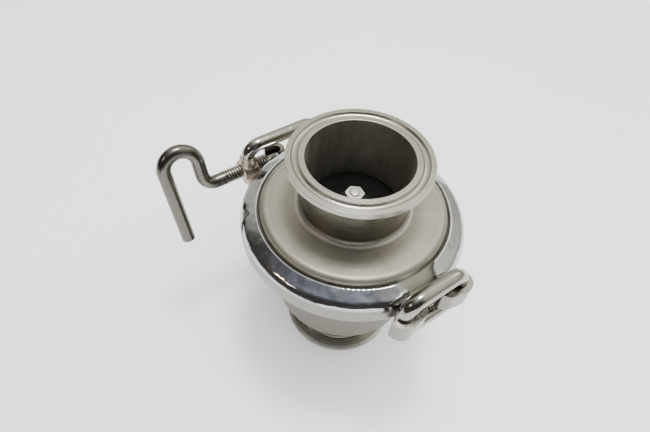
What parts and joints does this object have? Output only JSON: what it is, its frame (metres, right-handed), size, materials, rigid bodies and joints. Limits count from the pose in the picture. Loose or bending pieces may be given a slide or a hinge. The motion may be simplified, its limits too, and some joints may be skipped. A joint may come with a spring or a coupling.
{
  "type": "check valve",
  "caption": "Sanitary in-line spring check valve: short inlet cap and long outlet cup held at their flanges by a hooked two-part screw clamp, with a clamp ferrule at each end.",
  "frame": {"origin": "centre of the outlet ferrule's sealing face, on the valve's axis", "axes": "+Z along the valve's axis from outlet to inlet; flow runs towards -Z; the clamp's closing screw lies near -X +Y and its link pair near +X -Y"},
  "size_m": [0.151, 0.1152, 0.1295],
  "materials": {
    "satin_steel": "fine satin stainless steel",
    "turned_steel": "turned stainless steel",
    "weld_steel": "bright weld bead, faintly straw coloured",
    "polished_band": "polished stainless sheet with fine scratches",
    "pressed_steel": "pressed and tumbled stainless strap",
    "drawn_rod": "drawn stainless rod, semi polished",
    "heat_tinted_boss": "brazed boss, brown from heat",
    "bright_steel": "bright machined stainless steel",
    "spring_steel": "drawn stainless spring wire",
    "seal_rubber": "black moulded rubber",
    "gasket_rubber": "black rubber ring",
    "bush_plastic": "off-white bearing plastic"
  },
  "bodies": {
    "valve_body": {"inlet_ferrule": "turned_steel", "inlet_weld": "weld_steel", "upper_body": "satin_steel", "body_gasket": "gasket_rubber", "lower_flange": "satin_steel", "lower_body": "satin_steel", "outlet_weld": "weld_steel", "outlet_ferrule": "turned_steel", "guide_spider": "turned_steel", "guide_bush": "bush_plastic", "spring_washer": "bright_steel", "spring": "spring_steel", "rear_band": "polished_band", "hook_rear_hinge": "pressed_steel", "hook_rear_screw": "pressed_steel"},
    "disc": {"stem": "bright_steel", "spring_cup": "bright_steel", "backing_disc": "bright_steel", "seal_disc": "seal_rubber", "seal_washer": "bright_steel", "stem_nut": "bright_steel"},
    "hinge_link": {"hinge_link": "drawn_rod"},
    "front_clamp": {"front_band": "polished_band", "hook_front_hinge": "pressed_steel", "hook_front_screw": "pressed_steel"},
    "screw_link": {"screw_link": "drawn_rod", "link_boss": "heat_tinted_boss"},
    "button": {"thrust_button": "drawn_rod"},
    "screw": {"clamp_screw": "drawn_rod"}
  },
  "joints": [
    {"name": "disc_lift", "type": "slide", "parent": "valve_body", "child": "disc", "axis": [0, 0, -1], "range_m": [0, 0.012], "stiffness_N_per_m": 500, "springref_m": -0.012, "deforming": ["spring"]},
    {"name": "hinge_link_swing", "type": "hinge", "parent": "valve_body", "child": "hinge_link", "pos_m": [0.05, -0.03017, 0.08875], "axis": [0, 0, 1], "range_deg": [0, 1.4]},
    {"name": "front_clamp_swing", "type": "hinge", "parent": "hinge_link", "child": "front_clamp", "pos_m": [0.02751, -0.05151, 0.08875], "axis": [0, 0, 1], "range_deg": [0, 1.4]},
    {"name": "screw_link_swing", "type": "hinge", "parent": "valve_body", "child": "screw_link", "pos_m": [-0.02751, 0.05151, 0.08875], "axis": [0, 0, 1], "range_deg": [0, 0.9]},
    {"name": "screw_travel", "type": "slide", "parent": "screw_link", "child": "button", "axis": [-0.7254, -0.6884, 0], "range_m": [0, 0.0057]},
    {"name": "screw_turn", "type": "hinge", "parent": "button", "child": "screw", "pos_m": [-0.03896, 0.04106, 0.08875], "axis": [-0.7254, -0.6884, 0], "range_deg": [0, 1440]}
  ],
  "couplings": [
    {"joint": "screw_travel", "follows": "screw_turn", "m_per_rad": 0.00022457},
    {"joint": "hinge_link_swing", "follows": "screw_turn", "ratio": 0.000945},
    {"joint": "front_clamp_swing", "follows": "screw_turn", "ratio": 0.000945},
    {"joint": "screw_link_swing", "follows": "screw_turn", "ratio": 0.000591}
  ]
}
